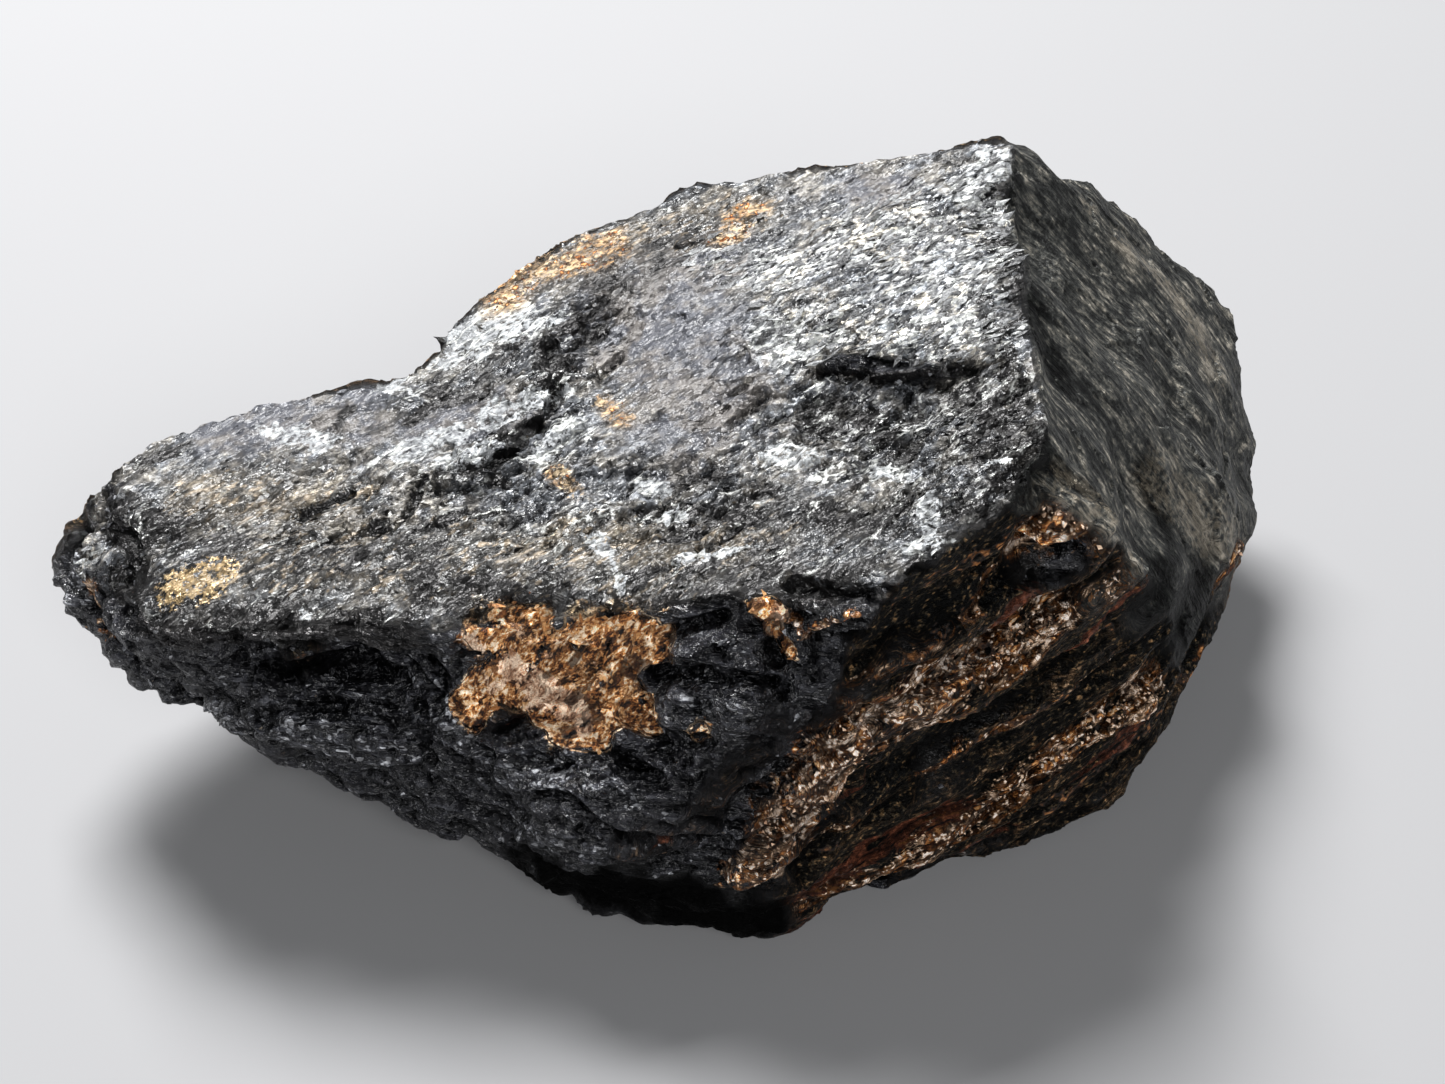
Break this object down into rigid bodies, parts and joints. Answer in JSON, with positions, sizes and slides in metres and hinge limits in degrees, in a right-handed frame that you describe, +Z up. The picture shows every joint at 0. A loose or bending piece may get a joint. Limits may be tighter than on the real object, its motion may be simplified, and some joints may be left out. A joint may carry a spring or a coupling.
{
  "type": "tantalite crystal",
  "caption": "Dark, layered, broken crystal of tantalite with a sloping cleavage face, an ochre hollow and an overhanging tongue, resting on its flattened underside.",
  "frame": {"origin": "on the surface that the stone rests on, under the middle of its box", "axes": "+X from the tongue to the right-hand break, the long way; +Y to the back; +Z up, the short way, as it rests"},
  "size_m": [0.089, 0.0556, 0.0381],
  "materials": {
    "tantalite": "blue-grey to black, submetallic, silvery flecks on the cleavage face, rust and tan bands on the breaks",
    "ochre_crumbs": "rough, crumbly, orange-brown to pinkish tan",
    "mica_flakes": "thin silvery flakes, glossy"
  },
  "bodies": {
    "root": {"tantalite_crystal": "tantalite"}
  },
  "joints": []
}
